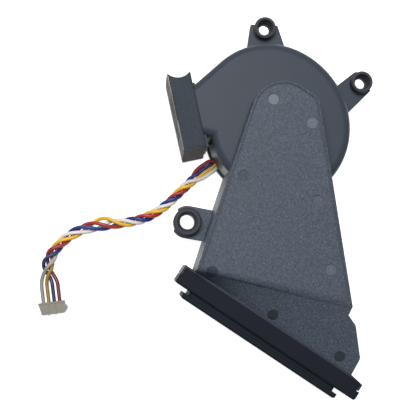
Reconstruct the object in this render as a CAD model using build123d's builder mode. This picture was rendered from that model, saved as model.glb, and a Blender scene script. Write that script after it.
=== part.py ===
from build123d import *
from math import cos, pi, radians, sin, sqrt, tan
import os

# Suction fan module of a floor-cleaning robot: a snail-shaped blower with a brushless
# motor, and over it a flat wedge duct that brings air from a wide mouth to the fan's eye.
# Millimetres. The fan spins about +Z, z = 0 is the flat underside, and the mouth faces -Y.

os.makedirs("parts", exist_ok=True)

# Mouldings in general
wall = 1.6
gap = 0.15
slack = 0.05
lap = 0.8

# Blower casing: tangent arcs that swell from the tongue round to a straight wall
casing_radius = 27.25
tongue_step = 4.05
spread_step = 4.35
tongue_angle = -137
swell_angle = -100
swell_turn = 46
spread_angle = 45
wall_angle = 139
bend_radius = 26.0
scroll_top = 24.5
shoulder = 3.0
base_thick = 3.0
floor_thick = 1.8
rim_proud = 0.7

# Outlet of the blower, with its flange and the foam block stuck on it
outlet_angle = -134
outlet_step = 1.6
outlet_wall_step = 10.51
outlet_tongue_side = -2.0
flange_thick = 1.0
flange_left = 0.5
flange_right = 4.0
flange_low = 0.8
flange_high = 23.2
window_left = 2.1
window_right = 2.2
window_low = 4.8
window_high = 21.4
foam_thick = 8.2
foam_low = 0.8
foam_high = 26.8
foam_over = 5.8
foam_end_low = 1.6
foam_end_high = -0.1
foam_notch_radius = 5.5
foam_notch_depth = 3.45
foam_notch_out = 3.7

# Eye of the blower, with a short lip below its roof
eye_radius = 9.4
eye_lip = 1.5
eye_edge = 0.6

# Duct: straight sides that open towards the mouth, and a roof that comes down to it
duct_back = 15.2
duct_left_foot = 4.4
duct_left_lean = 15.0
duct_right_top = 6.8
duct_right_corner = (56.1, -39.0)
duct_notch = (56.8, -42.1)
duct_bulge_from = (61.0, -43.6)
duct_bulge_to = (69.4, -52.2)
duct_right_foot = 70.3
duct_back_left_radius = 11.5
duct_back_right_radius = 6.0
duct_corner_radius = 1.2
duct_bulge_radius = 2.5
roof = 33.5
roof_edge = 0.6
crease_at = (30.0, -48.5)
crease_angle = 21.0
crease_roll = 2.3
crease_left = 3.0
crease_right = 80.0
mouth_roof = 25.2
mouth_back = -58.6

# Shallow groove along the roof's edge, and the round marks left by the mould's pins
groove_in = 0.9
groove_wide = 0.5
groove_deep = 0.3
mark_radius = 1.95
mark_deep = 0.15
mark_places = (
    (-6.2, 5.7),
    (9.4, 6.4),
    (26.0, -15.2),
    (42.7, -32.6),
    (-0.1, -22.3),
    (9.0, -55.8),
    (35.4, -56.35),
    (63.1, -55.6),
)

# Collar round the mouth, and the rubber seal pushed on to it
collar_thick = 3.4
collar_left = 0.4
collar_right = 75.3
collar_low = 1.2
collar_high = 26.2
collar_slant = 0.8
mouth_left = 8.0
mouth_right = 66.2
mouth_low = 3.4
mouth_high = 23.4
mouth_corner = 2.0
skin_thick = 0.8
skin_length = 2.7
skin_in = 0.6
seal_neck = 0.7
lip_thick = 2.9
lip_left_in = 0.1
lip_right_out = 0.6
waist_length = 2.0
waist_left_in = 6.5
waist_right_in = 7.5
waist_low_in = 1.5
waist_high_in = 1.6
flap_thick = 1.4
flap_out = 1.8
flap_up = 1.2
seal_corner = 1.4
seal_round = 0.9
bead_wide = 0.9
bead_back = 0.45

# Ears with rubber grommets
ear_low = 8.0
ear_thick = 2.4
ear_root = 0.8
ear_slot = 1.7
grommet_low = 4.4
grommet_length = 9.6
grommet_edge = 0.4
upper_ear_out = 11.2
upper_ear_angle = 127.0
upper_ear_roots = ((2.5, 139.8), (2.0, 112.5))
upper_ear_opening = 122.0
upper_ear_radius = 5.3
upper_ear_reach = 1.8
right_ear_out = 11.35
right_ear_angle = 62.4
right_ear_roots = ((-1.05, 66.6), (-0.5, 45.9))
right_ear_opening = 70.0
right_ear_radius = 4.65
right_ear_reach = 1.6
left_ear_out = 11.7
left_ear_back = 13.6
left_ear_roots = ((4.3, 22.3), (2.0, 12.2))
left_ear_opening = -157.5
left_ear_radius = 6.0
left_ear_reach = 4.2
small_bore = 2.0
small_throat = 2.5
small_flare = 3.0
small_grommet_wall = 1.5
small_flange_radius = 4.0
large_bore = 2.75
large_throat = 7.6
large_flare = 3.7
large_grommet_wall = 1.3
large_flange_radius = 5.1

# Screws from below, in posts of the duct
screw_radius = 0.95
screw_length = 7.0
screw_head = 1.8
screw_head_height = 0.9
post_radius = 2.2
post_places = (
    (duct_left_foot - 1.6, mouth_back + 22.6),
    (duct_left_foot + 3.6, mouth_back + 5.0),
    (duct_right_foot - 4.9, mouth_back + 4.4),
    (37.0, -24.0),
)

# Motor bay in the base, with posts whose heads are melted over the board
bay_radius = 15.0
bay_wall = 1.4
bay_high = 11.2
bay_floor = 1.2
pocket_radius = 3.0
pocket_floor = 0.6
stake_count = 3
stake_in = 2.0
stake_start = 50
stake_radius = 0.8
stake_head = 1.4
stake_head_height = 0.7

# Motor, outside rotor, with its shaft in two shielded ball bearings
shaft_radius = 1.5
shaft_low = 0.9
bearing_radius = 3.5
bearing_width = 3.0
race_thick = 0.55
shield_thick = 0.2
lower_bearing_low = 1.6
holder_radius = 4.3
holder_land = 2.8
holder_high = 11.6
plate_in = 0.2
plate_thick = 1.0
board_in = 0.6
board_thick = 1.0
board_hole = 5.0
chip_size = (3.0, 3.0)
chip_height = 0.8
chip_in = 2.3
chip_angles = (10, 120)
sensor_size = (1.4, 2.4)
sensor_height = 0.7
sensor_in = 1.4
sensor_angles = (150, 190, 230)
pad_size = (1.6, 1.0)
pad_height = 0.5
pad_in = 1.8
pad_step = 7
stator_low = 6.0
stack_height = 5.0
core_ring = 5.8
tooth_count = 9
tooth_width = 1.4
tooth_end = 7.6
tip_angle = 28
stator_gap = 0.35
insulator_thick = 0.5
coil_thick = 0.9
magnet_thick = 1.3
magnet_low = 5.4
magnet_height = 6.4
yoke_radius = 11.0
yoke_wall = 0.8
yoke_low = 4.8
yoke_height = 8.9
bush_radius = 3.0
washer_thick = 0.6
washer_radius = 2.3
clip_thick = 0.3
clip_radius = 2.6
clip_groove = 1.15

# Impeller, turning counter-clockwise seen from above, with its blades swept back
impeller_gap = 1.6
back_thick = 1.0
skirt_wall = 0.9
skirt_length = 5.6
hub_radius = 5.6
hub_height = 3.6
blade_count = 9
blade_thick = 0.9
blade_root = 6.4
blade_root_height = 2.4
blade_sweep = 52
blade_bulge = 2.4
shroud_thick = 0.8
shroud_gap = 0.7
shroud_rise = 5.4
shroud_tip_height = 4.0
shroud_bend = 1.4

# Lead of four twisted wires, with its plug
lead_radius = 1.8
lead_angle = -118
lead_high = 3.0
tunnel_wall = 0.9
lead_route = (
    (-7.1, -13.4, 3.0),
    (-12.7, -23.9, 3.0),
    (-15.6, -35.6, 2.2),
    (-17.1, -43.4, 1.9),
    (-19.9, -50.3, 1.9),
    (-24.9, -56.5, 1.9),
    (-32.9, -62.8, 1.9),
    (-39.6, -69.7, 1.9),
    (-42.7, -78.3, 1.9),
    (-41.5, -86.5, 2.1),
    (-37.3, -91.6, 2.3),
    (-32.6, -97.0, 2.3),
)
arc_share = 0.45
plug_ways = 4
plug_pitch = 2.0
plug_side = 1.8
plug_taper = 0.9
plug_high = 4.2
plug_length = 4.5
plug_rim = 0.6
plug_rim_proud = 0.2
plug_rib = 0.4
plug_rib_at = 1.3
plug_rib_proud = 0.3
lug_from = 1.5
lug_to = 3.1
lug_proud = 0.7
lug_slope = 0.5
contact_width = 1.2
contact_high = 1.5

tongue_radius = casing_radius - tongue_step
spread_radius = casing_radius + spread_step
outlet_face = tongue_radius + outlet_step
outlet_wall_side = outlet_wall_step - spread_radius
flange_from = outlet_wall_side - flange_left
flange_to = outlet_tongue_side + flange_right
window_from = outlet_wall_side + window_left
window_to = outlet_tongue_side - window_right
foam_tip = flange_from - foam_over
collar_front = mouth_back - collar_thick
seal_low = collar_low - skin_thick
seal_high = collar_high + skin_thick
mouth_sides = (mouth_left, mouth_right, mouth_low, mouth_high)
plate_radius = bay_radius - plate_in
board_radius = bay_radius - board_in
stake_at = bay_radius - stake_in
plate_top = bay_floor + plate_thick
board_top = plate_top + board_thick
impeller_radius = tongue_radius - wall - impeller_gap

outlet_out = Vector(cos(radians(outlet_angle)), sin(radians(outlet_angle)), 0)
outlet_along = Vector(-outlet_out.Y, outlet_out.X, 0)
outlet_plane = Plane(origin=outlet_out * outlet_face, x_dir=outlet_along, z_dir=outlet_out)
lead_out = Vector(cos(radians(lead_angle)), sin(radians(lead_angle)), 0)
plug_out = (Vector(*lead_route[-1]) - Vector(*lead_route[-2])).normalized()
plug_plane = Plane(origin=lead_route[-1], x_dir=Vector(-plug_out.Y, plug_out.X, 0), z_dir=plug_out)


def save(builder, name):
    """Name a finished piece and write it to its own file."""
    builder.part.label = name
    export_step(builder.part, f"parts/{name}.step")


def polar(radius, angle):
    return (radius * cos(radians(angle)), radius * sin(radians(angle)))


def ring(outer, inner, low, high):
    """A plain ring about the fan's axis, or a disc where inner is 0."""
    with BuildPart() as body:
        with BuildSketch(Plane.XY.offset(low)):
            Circle(outer)
            if inner:
                Circle(inner, mode=Mode.SUBTRACT)
        extrude(amount=high - low)
    return body.part


# Casing outlines seen from above

def scroll_outline(grow):
    """The blower casing seen from above, grown outwards by grow."""
    tongue_end = outlet_plane.from_local_coords((outlet_tongue_side + grow, 0, 0))
    wall_end = outlet_plane.from_local_coords((outlet_wall_side - grow, 0, 0))
    swell = tongue_step / (2 * (1 - cos(radians(swell_turn))))
    stations = (
        (tongue_radius, tongue_angle, swell_angle),
        (tongue_radius + swell, swell_angle, swell_angle + swell_turn),
        (casing_radius - swell, swell_angle + swell_turn, swell_angle + 2 * swell_turn),
        (casing_radius, swell_angle + 2 * swell_turn, spread_angle),
        (spread_radius, spread_angle, wall_angle),
    )
    centre = Vector(0, 0, 0)
    last_radius = tongue_radius
    arcs = []
    with BuildSketch() as sketch:
        with BuildLine():
            for radius, start, end in stations:
                centre -= (radius - last_radius) * Vector(*polar(1, start))
                arcs.append(CenterArc(centre, radius + grow, start, end - start))
                last_radius = radius
            Line(arcs[-1] @ 1, wall_end)
            Line(wall_end, tongue_end)
            Line(tongue_end, arcs[0] @ 0)
        make_face()
        fillet(sketch.vertices().sort_by_distance(arcs[-1] @ 1)[0], bend_radius + grow)
    return sketch.sketch


def scroll_body(grow, low, high, edge):
    """A solid block in the casing's outline, with a round shoulder all along but at the outlet."""
    with BuildPart() as body:
        with BuildSketch(Plane.XY.offset(low)):
            add(scroll_outline(grow))
        extrude(amount=high - low)
        top = body.faces().sort_by(Axis.Z)[-1].edges()
        inside = [e for e in top if outlet_plane.to_local_coords(e.center()).Z < -gap]
        if edge:
            fillet(inside, edge)
    return body.part


def duct_outline(grow, front):
    """The duct seen from above, grown outwards by grow, with its open end at y = front."""
    start = front + grow
    lean = tan(radians(duct_left_lean))
    left_top = duct_left_foot - (duct_back - mouth_back) * lean
    with BuildSketch() as sketch:
        with BuildLine():
            Polyline(
                (duct_left_foot + (mouth_back - start) * lean, start),
                (left_top, duct_back),
                (duct_right_top, duct_back),
                duct_right_corner,
                duct_notch,
                duct_bulge_from,
                duct_bulge_to,
                (duct_right_foot, start),
                close=True,
            )
        make_face()
        fillet(sketch.vertices().sort_by_distance((left_top, duct_back))[0], duct_back_left_radius)
        fillet(sketch.vertices().sort_by_distance((duct_right_top, duct_back))[0], duct_back_right_radius)
        for place, radius in (
            (duct_right_corner, duct_corner_radius),
            (duct_bulge_from, duct_bulge_radius),
            (duct_bulge_to, duct_bulge_radius),
        ):
            fillet(sketch.vertices().sort_by_distance(place)[0], radius)
        if grow:
            offset(amount=grow, kind=Kind.INTERSECTION)
    return sketch.sketch


def roof_cut(inset):
    """What is cut off above the duct's roof, from the rolled crease down to the mouth."""
    foot = Vector(mouth_back, mouth_roof - inset)
    front = mouth_back - 2 * collar_thick
    with BuildPart() as body:
        for x in (crease_left, crease_right):
            crease_y = crease_at[1] + (x - crease_at[0]) * tan(radians(crease_angle)) + inset
            crease = Vector(crease_y, roof - inset)
            roll_start = crease + Vector(crease_roll, 0)
            roll_end = crease + (foot - crease).normalized() * crease_roll
            with BuildSketch(Plane(origin=(x, 0, 0), x_dir=(0, 1, 0), z_dir=(1, 0, 0))):
                with BuildLine():
                    Bezier(roll_start, crease, roll_end)
                    Polyline(
                        roll_end,
                        foot,
                        (front, mouth_roof - inset),
                        (front, 2 * roof),
                        (roll_start.X, 2 * roof),
                        roll_start,
                    )
                make_face()
        loft(ruled=True)
    return body.part


def duct_body(inset, low, front):
    """A solid block in the duct's outline, inset all round, under its sloping roof."""
    with BuildPart() as body:
        with BuildSketch(Plane.XY.offset(low)):
            add(duct_outline(-inset, front))
        extrude(amount=roof - inset - low)
        if not inset:
            top = body.faces().sort_by(Axis.Z)[-1].edges()
            fillet([e for e in top if e.center().Y > mouth_back + gap], roof_edge)
        add(roof_cut(inset), mode=Mode.SUBTRACT)
    return body.part


def ear(centre, end_radius, neck_radius, roots, opening, reach):
    """A fork-shaped ear: from two root points to a round end, cut off and open on one side."""
    with BuildPart() as body:
        with BuildSketch(Plane.XY.offset(ear_low)):
            with Locations(centre):
                Circle(end_radius)
            with Locations(*roots):
                Circle(ear_root)
            make_hull()
            with Locations(centre):
                Circle(neck_radius, mode=Mode.SUBTRACT)
            with Locations(Location((*centre, 0), (0, 0, opening))):
                Rectangle(
                    2 * end_radius,
                    ear_slot * neck_radius,
                    align=(Align.MIN, Align.CENTER),
                    mode=Mode.SUBTRACT,
                )
                with Locations((reach, 0)):
                    Rectangle(
                        2 * end_radius,
                        3 * end_radius,
                        align=(Align.MIN, Align.CENTER),
                        mode=Mode.SUBTRACT,
                    )
        extrude(amount=ear_thick)
    return body.part


def mouth_block(sides, corner, front, depth):
    """A block across the mouth, from y = front outwards, with sides left, right, low and high."""
    left, right, low, high = sides
    with BuildPart() as body:
        with BuildSketch(Plane.XZ.offset(-front)):
            with Locations(((left + right) / 2, (low + high) / 2)):
                RectangleRounded(right - left, high - low, corner)
        extrude(amount=depth)
    return body.part


def lead_bore(radius, start, end):
    """A round bar along the lead's way out of the casing."""
    with BuildPart() as body:
        with BuildSketch(Plane(origin=lead_out * start + Vector(0, 0, lead_high), z_dir=lead_out)):
            Circle(radius)
        extrude(amount=end - start)
    return body.part


# Base: one flat floor under the blower and the duct, with the motor bay

lead_hole = lead_bore(lead_radius + gap, bay_radius - bay_wall, 2 * casing_radius)

with BuildPart() as base_shell:
    with BuildSketch():
        add(scroll_outline(rim_proud))
        add(duct_outline(0, mouth_back))
    extrude(amount=base_thick)
    with BuildSketch(Plane.XY.offset(floor_thick)):
        add(duct_outline(lap - wall, mouth_back - wall))
        add(scroll_outline(rim_proud), mode=Mode.SUBTRACT)
    extrude(amount=base_thick, mode=Mode.SUBTRACT)
    with BuildSketch(Plane.XY.offset(floor_thick)):
        add(scroll_outline(lap - wall))
    extrude(amount=base_thick, mode=Mode.SUBTRACT)
    with BuildPart(mode=Mode.PRIVATE) as tunnel:
        add(lead_bore(lead_radius + tunnel_wall, bay_radius, 2 * casing_radius))
        with BuildSketch(Plane.XY.offset(pocket_floor)):
            add(scroll_outline(-wall - gap))
        extrude(amount=scroll_top, mode=Mode.INTERSECT)
    add(tunnel.part)
    add(ring(bay_radius + bay_wall, bay_radius, floor_thick, bay_high))
    with BuildSketch(Plane.XY.offset(bay_floor)):
        Circle(bay_radius)
    extrude(amount=bay_high, mode=Mode.SUBTRACT)
    with BuildSketch(Plane.XY.offset(pocket_floor)):
        Circle(pocket_radius)
    extrude(amount=base_thick, mode=Mode.SUBTRACT)
    with BuildSketch(Plane.XY.offset(bay_floor)):
        with PolarLocations(stake_at, stake_count, stake_start):
            Circle(stake_radius)
    extrude(amount=board_top + stake_head_height - bay_floor)
    with BuildSketch(Plane.XY.offset(board_top)):
        with PolarLocations(stake_at, stake_count, stake_start):
            Circle(stake_head)
    extrude(amount=stake_head_height)
    add(lead_hole, mode=Mode.SUBTRACT)
    with BuildSketch():
        with Locations(*post_places):
            Circle(screw_radius + gap)
    extrude(amount=base_thick, mode=Mode.SUBTRACT)
    with BuildSketch():
        with Locations(*post_places):
            Circle(screw_head + gap)
    extrude(amount=screw_head_height, mode=Mode.SUBTRACT)
save(base_shell, "base_shell")


# Blower casing: side wall, roof with the eye, outlet flange and two ears

upper_ear_at = polar(casing_radius + upper_ear_out, upper_ear_angle)
right_ear_at = polar(casing_radius + right_ear_out, right_ear_angle)
small_neck = small_bore + small_grommet_wall + slack
with BuildPart() as scroll_shell:
    add(scroll_body(0, base_thick, scroll_top, shoulder))
    for centre, end_radius, roots, opening, reach in (
        (upper_ear_at, upper_ear_radius, upper_ear_roots, upper_ear_opening, upper_ear_reach),
        (right_ear_at, right_ear_radius, right_ear_roots, right_ear_opening, right_ear_reach),
    ):
        root_places = [polar(casing_radius + out, angle) for out, angle in roots]
        add(ear(centre, end_radius, small_neck, root_places, opening, reach))
    with BuildSketch(Plane.XY.offset(floor_thick + gap)):
        add(scroll_outline(lap - wall - slack))
    extrude(amount=base_thick)
    add(scroll_body(-wall, 0, scroll_top - wall, shoulder - wall), mode=Mode.SUBTRACT)
    with BuildSketch(outlet_plane) as flange:
        with Locations((outlet_wall_side, flange_low)):
            Rectangle(
                outlet_tongue_side - outlet_wall_side,
                scroll_top - flange_low,
                align=(Align.MIN, Align.MIN),
            )
        fillet(flange.vertices().group_by(Axis.Y)[-1], shoulder)
        with Locations((flange_from, flange_low)):
            Rectangle(flange_to - flange_from, flange_high - flange_low, align=(Align.MIN, Align.MIN))
        with Locations((window_from, window_low)):
            Rectangle(
                window_to - window_from,
                window_high - window_low,
                align=(Align.MIN, Align.MIN),
                mode=Mode.SUBTRACT,
            )
    extrude(amount=flange_thick)
    add(ring(eye_radius + wall, eye_radius, scroll_top - wall - eye_lip, scroll_top))
    add(ring(eye_radius, 0, scroll_top - wall - eye_lip, 2 * scroll_top), mode=Mode.SUBTRACT)
    circles = scroll_shell.edges().filter_by(GeomType.CIRCLE)
    chamfer(circles.sort_by_distance((0, 0, scroll_top))[0], eye_edge)
    add(lead_hole, mode=Mode.SUBTRACT)
save(scroll_shell, "scroll_shell")


# Duct over the blower, with the mouth collar and the third ear

left_ear_at = (duct_left_foot - left_ear_out, mouth_back + left_ear_back)
large_neck = large_bore + large_grommet_wall + slack
with BuildPart() as duct_shell:
    add(duct_body(0, base_thick, mouth_back))
    root_places = [(duct_left_foot - left, mouth_back + back) for left, back in left_ear_roots]
    add(ear(left_ear_at, left_ear_radius, large_neck, root_places, left_ear_opening, left_ear_reach))
    with BuildSketch(Plane.XY.offset(floor_thick + gap)):
        add(duct_outline(lap - wall - slack, mouth_back))
        add(scroll_outline(rim_proud + slack), mode=Mode.SUBTRACT)
    extrude(amount=base_thick)
    with BuildSketch(Plane.XY.offset(collar_low)):
        with BuildLine():
            Polyline(
                (collar_left, mouth_back),
                (duct_right_foot, mouth_back),
                (collar_right, mouth_back - collar_slant),
                (collar_right, collar_front),
                (collar_left, collar_front),
                close=True,
            )
        make_face()
    extrude(amount=collar_high - collar_low)
    add(duct_body(wall, 0, mouth_back), mode=Mode.SUBTRACT)
    add(mouth_block(mouth_sides, mouth_corner, mouth_back, collar_thick), mode=Mode.SUBTRACT)
    with BuildSketch(Plane.XY.offset(roof - groove_deep)):
        add(duct_outline(-groove_in, collar_front))
        add(duct_outline(-groove_in - groove_wide, collar_front), mode=Mode.SUBTRACT)
    extrude(amount=roof, mode=Mode.SUBTRACT)
    with BuildPart(mode=Mode.PRIVATE) as marks:
        with BuildSketch(Plane.XY.offset(mouth_roof - wall)):
            with Locations(*mark_places):
                Circle(mark_radius)
        extrude(amount=roof)
        add(duct_body(mark_deep, 0, mouth_back), mode=Mode.SUBTRACT)
    add(marks.part, mode=Mode.SUBTRACT)
    with BuildPart(mode=Mode.PRIVATE) as posts:
        with BuildSketch(Plane.XY.offset(floor_thick + slack)):
            with Locations(*post_places):
                Circle(post_radius)
        extrude(amount=roof)
        add(duct_body(wall - lap + slack, 0, mouth_back), mode=Mode.INTERSECT)
        with BuildSketch():
            with Locations(*post_places):
                Circle(screw_radius + slack)
        extrude(amount=screw_length + screw_head_height + gap, mode=Mode.SUBTRACT)
    add(posts.part)
    add(scroll_body(gap, 0, scroll_top + slack, shoulder), mode=Mode.SUBTRACT)
save(duct_shell, "duct_shell")

with BuildPart() as housing_screws:
    with BuildSketch(Plane.XY.offset(slack)):
        with Locations(*post_places):
            Circle(screw_head)
    extrude(amount=screw_head_height - slack)
    with BuildSketch(Plane.XY.offset(slack)):
        with Locations(*post_places):
            Circle(screw_radius)
    extrude(amount=screw_length)
save(housing_screws, "housing_screws")


# Rubber seal pushed over the collar: skin and neck, a thick lip, a waist and a thin outer flap

def seal_lip(sides, front, thick):
    """A lip of the seal, rounded in front, with a bead along the edge of its back."""
    left, right, low, high = sides
    inner = (left + bead_wide, right - bead_wide, low + bead_wide, high - bead_wide)
    with BuildPart() as lip:
        add(mouth_block(sides, seal_corner, front, thick))
        fillet(lip.faces().sort_by(Axis.Y)[0].edges(), seal_round)
        add(mouth_block(sides, seal_corner, front + bead_back, bead_back))
        add(mouth_block(inner, seal_corner - bead_wide, front + bead_back, bead_back), mode=Mode.SUBTRACT)
    return lip.part


skin_sides = (collar_left + skin_in, collar_right - skin_in, seal_low, seal_high)
lip_sides = (collar_left + lip_left_in, collar_right + lip_right_out, seal_low, seal_high)
waist_sides = (
    collar_left + waist_left_in,
    collar_right - waist_right_in,
    seal_low + waist_low_in,
    seal_high - waist_high_in,
)
flap_sides = (
    waist_sides[0] - flap_out,
    waist_sides[1] + flap_out,
    waist_sides[2] - flap_up,
    waist_sides[3] + flap_up,
)
lip_front = collar_front - seal_neck
waist_front = lip_front - lip_thick
flap_front = waist_front - waist_length
seal_length = seal_neck + lip_thick + waist_length + flap_thick
with BuildPart() as mouth_seal:
    add(mouth_block(skin_sides, seal_corner, lip_front + seal_neck + skin_length, seal_neck + skin_length))
    with BuildSketch(Plane.XY.offset(collar_low)):
        with Locations((collar_left, collar_front)):
            Rectangle(collar_right - collar_left, collar_thick, align=(Align.MIN, Align.MIN))
    extrude(amount=collar_high - collar_low, mode=Mode.SUBTRACT)
    add(seal_lip(lip_sides, lip_front, lip_thick))
    add(mouth_block(waist_sides, seal_corner, waist_front, waist_length))
    add(seal_lip(flap_sides, flap_front, flap_thick))
    add(mouth_block(mouth_sides, mouth_corner, collar_front, seal_length), mode=Mode.SUBTRACT)
save(mouth_seal, "mouth_seal")


# Foam block on the outlet flange, with a round notch at its far end

with BuildPart() as outlet_seal:
    with BuildSketch(outlet_plane.offset(flange_thick)):
        with BuildLine():
            Polyline(
                (foam_tip, foam_low),
                (flange_to + foam_end_low, foam_low),
                (flange_to + foam_end_high, foam_high),
                (foam_tip, foam_high),
                close=True,
            )
        make_face()
        with Locations((window_from, window_low)):
            Rectangle(
                window_to - window_from,
                window_high - window_low,
                align=(Align.MIN, Align.MIN),
                mode=Mode.SUBTRACT,
            )
    extrude(amount=foam_thick)
    notch = outlet_plane.from_local_coords(
        (foam_tip + foam_notch_depth - foam_notch_radius, 0, flange_thick + foam_notch_out)
    )
    with BuildSketch():
        with Locations((notch.X, notch.Y)):
            Circle(foam_notch_radius)
    extrude(amount=2 * foam_high, mode=Mode.SUBTRACT)
save(outlet_seal, "outlet_seal")


# Grommets: a waist in the ear between two thick rims

def make_grommet(name, centre, bore, throat, flare, neck, flange_radius):
    """A rubber ring held by its neck, with a straight throat that flares to both ends."""
    low_rim = ear_low - slack
    high_rim = ear_low + ear_thick + slack
    top = grommet_low + grommet_length
    middle = grommet_low + grommet_length / 2
    with BuildPart() as grommet:
        with BuildSketch(Plane(origin=(*centre, 0), x_dir=(1, 0, 0), z_dir=(0, -1, 0))):
            with BuildLine():
                Polyline(
                    (bore, middle - throat / 2),
                    (flare, grommet_low),
                    (flange_radius - grommet_edge, grommet_low),
                    (flange_radius, grommet_low + grommet_edge),
                    (flange_radius, low_rim),
                    (neck, low_rim),
                    (neck, high_rim),
                    (flange_radius, high_rim),
                    (flange_radius, top - grommet_edge),
                    (flange_radius - grommet_edge, top),
                    (flare, top),
                    (bore, middle + throat / 2),
                    close=True,
                )
            make_face()
        revolve(axis=Axis((*centre, 0), (0, 0, 1)))
    save(grommet, name)


small_sizes = (small_bore, small_throat, small_flare, small_neck - slack, small_flange_radius)
large_sizes = (large_bore, large_throat, large_flare, large_neck - slack, large_flange_radius)
make_grommet("grommet_upper", upper_ear_at, *small_sizes)
make_grommet("grommet_right", right_ear_at, *small_sizes)
make_grommet("grommet_left", left_ear_at, *large_sizes)


# Motor plate, bearing holder and board

def stake_holes():
    with BuildSketch() as holes:
        with PolarLocations(stake_at, stake_count, stake_start):
            Circle(stake_radius + slack)
    return holes.sketch


with BuildPart() as motor_plate:
    with BuildSketch(Plane.XY.offset(bay_floor)):
        Circle(plate_radius)
        Circle(holder_radius + slack, mode=Mode.SUBTRACT)
        add(stake_holes(), mode=Mode.SUBTRACT)
    extrude(amount=plate_thick)
save(motor_plate, "motor_plate")

with BuildPart() as motor_board:
    with BuildSketch(Plane.XY.offset(plate_top)):
        Circle(board_radius)
        Circle(board_hole, mode=Mode.SUBTRACT)
        add(stake_holes(), mode=Mode.SUBTRACT)
    extrude(amount=board_thick)
save(motor_board, "motor_board")

pad_angles = [lead_angle + pad_step * (i - (plug_ways - 1) / 2) for i in range(plug_ways)]
with BuildPart() as board_parts:
    for size, height, radius, angles in (
        (chip_size, chip_height, bay_radius - chip_in, chip_angles),
        (sensor_size, sensor_height, yoke_radius - sensor_in, sensor_angles),
        (pad_size, pad_height, bay_radius - pad_in, pad_angles),
    ):
        with BuildSketch(Plane.XY.offset(board_top)):
            for angle in angles:
                with Locations(Location((*polar(radius, angle), 0), (0, 0, angle))):
                    Rectangle(*size)
        extrude(amount=height)
save(board_parts, "board_parts")

upper_bearing_low = holder_high - bearing_width - slack
with BuildPart() as bearing_holder:
    add(ring(holder_radius, holder_land, bay_floor, holder_high))
    add(ring(bearing_radius + slack, 0, bay_floor, lower_bearing_low + bearing_width), mode=Mode.SUBTRACT)
    add(ring(bearing_radius + slack, 0, upper_bearing_low, holder_high), mode=Mode.SUBTRACT)
save(bearing_holder, "bearing_holder")


# Bearings: outer races with their shields, and inner races on the shaft

def make_bearing(name, low):
    high = low + bearing_width
    shield_in = shaft_radius + race_thick + 2 * slack
    with BuildPart() as bearing:
        add(ring(bearing_radius, bearing_radius - race_thick, low, high))
        add(ring(bearing_radius - race_thick, shield_in, low + slack, low + slack + shield_thick))
        add(ring(bearing_radius - race_thick, shield_in, high - slack - shield_thick, high - slack))
    save(bearing, name)


make_bearing("bearing_lower", lower_bearing_low)
make_bearing("bearing_upper", upper_bearing_low)
with BuildPart() as bearing_inner_races:
    for low in (lower_bearing_low, upper_bearing_low):
        add(ring(shaft_radius + race_thick, shaft_radius, low, low + bearing_width))
save(bearing_inner_races, "bearing_inner_races")


# Stator: laminated core, two insulators and a coil on each tooth

stator_radius = yoke_radius - yoke_wall - magnet_thick - stator_gap


def star_outline(radius, tips):
    """The stator's ring and teeth, with or without the wide tooth tips."""
    with BuildSketch() as sketch:
        Circle(core_ring)
        with PolarLocations(0, tooth_count):
            with Locations((radius / 2, 0)):
                Rectangle(radius, tooth_width)
        if tips:
            with BuildSketch(mode=Mode.PRIVATE) as tip_ring:
                Circle(radius)
                Circle(tooth_end, mode=Mode.SUBTRACT)
                with PolarLocations(0, tooth_count, 180 / tooth_count):
                    slot = 2 * radius * sin(radians((360 / tooth_count - tip_angle) / 2))
                    Rectangle(2 * radius, slot, align=(Align.MIN, Align.CENTER), mode=Mode.SUBTRACT)
            add(tip_ring.sketch)
            with BuildSketch(mode=Mode.PRIVATE) as limit:
                Circle(radius)
            add(limit.sketch, mode=Mode.INTERSECT)
        Circle(holder_radius + slack, mode=Mode.SUBTRACT)
    return sketch.sketch


with BuildPart() as stator_core:
    with BuildSketch(Plane.XY.offset(stator_low)):
        add(star_outline(stator_radius, True))
    extrude(amount=stack_height)
save(stator_core, "stator_core")

for name, low in (
    ("insulator_lower", stator_low - insulator_thick),
    ("insulator_upper", stator_low + stack_height),
):
    with BuildPart() as insulator:
        with BuildSketch(Plane.XY.offset(low)):
            add(star_outline(tooth_end, False))
        extrude(amount=insulator_thick)
    save(insulator, name)

with BuildPart() as windings:
    inner_width = tooth_width + 2 * slack
    inner_height = stack_height + 2 * insulator_thick + 2 * slack
    coil_end = sqrt(tooth_end**2 - (inner_width / 2 + coil_thick) ** 2) - slack
    for i in range(tooth_count):
        out = Vector(*polar(1, i * 360 / tooth_count), 0)
        middle = out * (core_ring + slack) + Vector(0, 0, stator_low + stack_height / 2)
        with BuildSketch(Plane(origin=middle, x_dir=(0, 0, 1), z_dir=out)):
            RectangleRounded(inner_height + 2 * coil_thick, inner_width + 2 * coil_thick, coil_thick)
            Rectangle(inner_height, inner_width, mode=Mode.SUBTRACT)
        extrude(amount=coil_end - core_ring - slack)
save(windings, "windings")


# Rotor: steel cup, magnet ring, shaft with its washer and clip

yoke_top = yoke_low + yoke_height
bearing_top = upper_bearing_low + bearing_width
with BuildPart() as rotor_yoke:
    add(ring(yoke_radius, shaft_radius + slack, yoke_low, yoke_top))
    add(ring(yoke_radius - yoke_wall, 0, yoke_low, yoke_top - yoke_wall), mode=Mode.SUBTRACT)
    add(ring(bush_radius, shaft_radius + slack, bearing_top + washer_thick, yoke_top))
save(rotor_yoke, "rotor_yoke")

with BuildPart() as magnet_ring:
    outer = yoke_radius - yoke_wall - slack
    add(ring(outer, outer - magnet_thick + slack, magnet_low, magnet_low + magnet_height))
save(magnet_ring, "magnet_ring")

with BuildPart() as spacer_washer:
    add(ring(washer_radius, shaft_radius + slack, bearing_top, bearing_top + washer_thick))
save(spacer_washer, "spacer_washer")

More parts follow.
